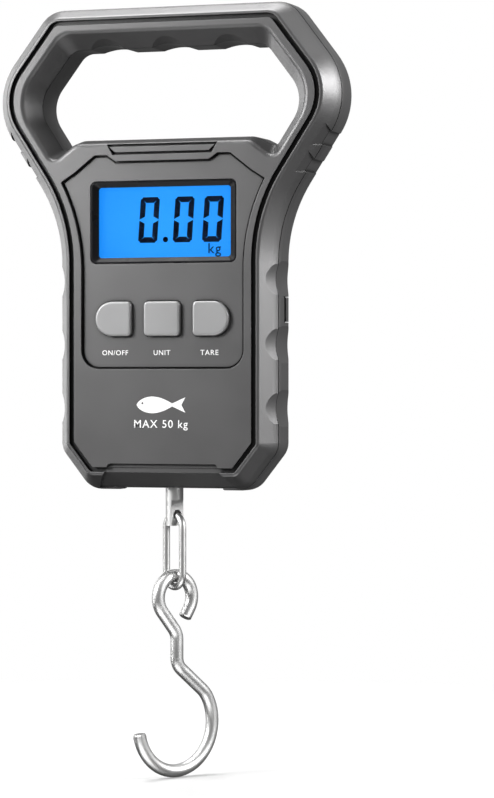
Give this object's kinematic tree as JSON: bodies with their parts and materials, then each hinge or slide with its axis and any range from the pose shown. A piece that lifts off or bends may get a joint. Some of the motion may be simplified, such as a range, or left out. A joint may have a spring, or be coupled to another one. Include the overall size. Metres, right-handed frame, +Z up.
{
  "type": "digital fish scale",
  "caption": "Hand-held electronic hanging scale with a loop handle, lit display, push buttons, measuring tape and a swivelling steel hook.",
  "frame": {"origin": "grip point: middle of the underside of the handle bar, on the vertical line through the hook stud", "axes": "+X to the user's right, -Y towards the user (display side), +Z up along the load line"},
  "size_m": [0.1058, 0.0275, 0.2242],
  "materials": {
    "housing": "fine moulded grain, satin gunmetal grey",
    "bezel": "gloss black",
    "window": "clear acrylic",
    "lcd": "lit blue display",
    "digits": "dark liquid crystal segments",
    "light_guide": "frosted",
    "rubber_parts": "matte",
    "circuit_board": "solder mask",
    "black_parts": "matte",
    "plated_steel": "zinc plated",
    "cell_aluminium": "machined",
    "gauge_foil": "polyimide",
    "lead_sleeve": "vinyl",
    "bush_brass": "turned",
    "stainless": "polished",
    "battery_can": "printed sleeve",
    "tape_blade": "printed scale",
    "button_cap": "satin light grey"
  },
  "bodies": {
    "housing": {"front_shell": "housing", "rear_shell": "housing", "display_bezel": "bezel", "display_window": "window", "lcd_panel": "lcd", "lcd_digits": "digits", "backlight_panel": "light_guide", "backlight_leds": "light_guide", "zebra_strips": "rubber_parts", "main_board": "circuit_board", "board_components": "black_parts", "tact_switches": "black_parts", "board_screws": "plated_steel", "load_cell_plate": "plated_steel", "load_cell": "cell_aluminium", "strain_gauges": "gauge_foil", "load_cell_screws": "plated_steel", "load_cell_leads": "lead_sleeve", "stud_bush": "bush_brass", "stud_washer": "plated_steel", "battery_1": "battery_can", "battery_2": "battery_can", "battery_springs": "plated_steel", "battery_plates": "plated_steel", "tape_case": "black_parts", "tape_spring": "plated_steel", "tape_lead": "tape_blade", "housing_screws": "plated_steel"},
    "power_key": {"power_button": "button_cap"},
    "unit_key": {"unit_button": "button_cap"},
    "tare_key": {"tare_button": "button_cap"},
    "door": {"battery_door": "housing"},
    "stud": {"hook_stud": "stainless", "stud_nut": "plated_steel"},
    "link": {"chain_link": "stainless"},
    "hook": {"hook": "stainless"},
    "tape_end": {"tape_tab": "housing"},
    "spool": {"tape_spool": "black_parts", "tape_coil": "tape_blade"}
  },
  "joints": [
    {"name": "power_press", "type": "slide", "parent": "housing", "child": "power_key", "axis": [0, 1, 0], "range_m": [0, 0.0006], "stiffness_N_per_m": 600, "springref_m": -0.0008},
    {"name": "unit_press", "type": "slide", "parent": "housing", "child": "unit_key", "axis": [0, 1, 0], "range_m": [0, 0.0006], "stiffness_N_per_m": 600, "springref_m": -0.0008},
    {"name": "tare_press", "type": "slide", "parent": "housing", "child": "tare_key", "axis": [0, 1, 0], "range_m": [0, 0.0006], "stiffness_N_per_m": 600, "springref_m": -0.0008},
    {"name": "door_slide", "type": "slide", "parent": "housing", "child": "door", "axis": [0, 0, 1], "range_m": [0, 0.028]},
    {"name": "stud_swivel", "type": "hinge", "parent": "housing", "child": "stud", "pos_m": [0, 0, -0.1357], "axis": [0, 0, 1], "continuous": true},
    {"name": "link_swing", "type": "hinge", "parent": "stud", "child": "link", "pos_m": [0, 0, -0.1357], "axis": [0.866, -0.5, 0], "range_deg": [-75, 75]},
    {"name": "hook_swing", "type": "hinge", "parent": "link", "child": "hook", "pos_m": [0, 0, -0.1534], "axis": [0.5, 0.866, 0], "range_deg": [-70, 70]},
    {"name": "tape_pull", "type": "slide", "parent": "housing", "child": "tape_end", "axis": [1, 0, 0], "range_m": [0, 1], "stiffness_N_per_m": 0.6, "springref_m": -1, "deforming": ["tape_lead"]},
    {"name": "spool_spin", "type": "hinge", "parent": "housing", "child": "spool", "pos_m": [0.015, 0, -0.0842], "axis": [0, 1, 0], "range_deg": [0, 7100]}
  ],
  "couplings": [
    {"joint": "spool_spin", "follows": "tape_pull", "rad_per_m": 121.95}
  ]
}
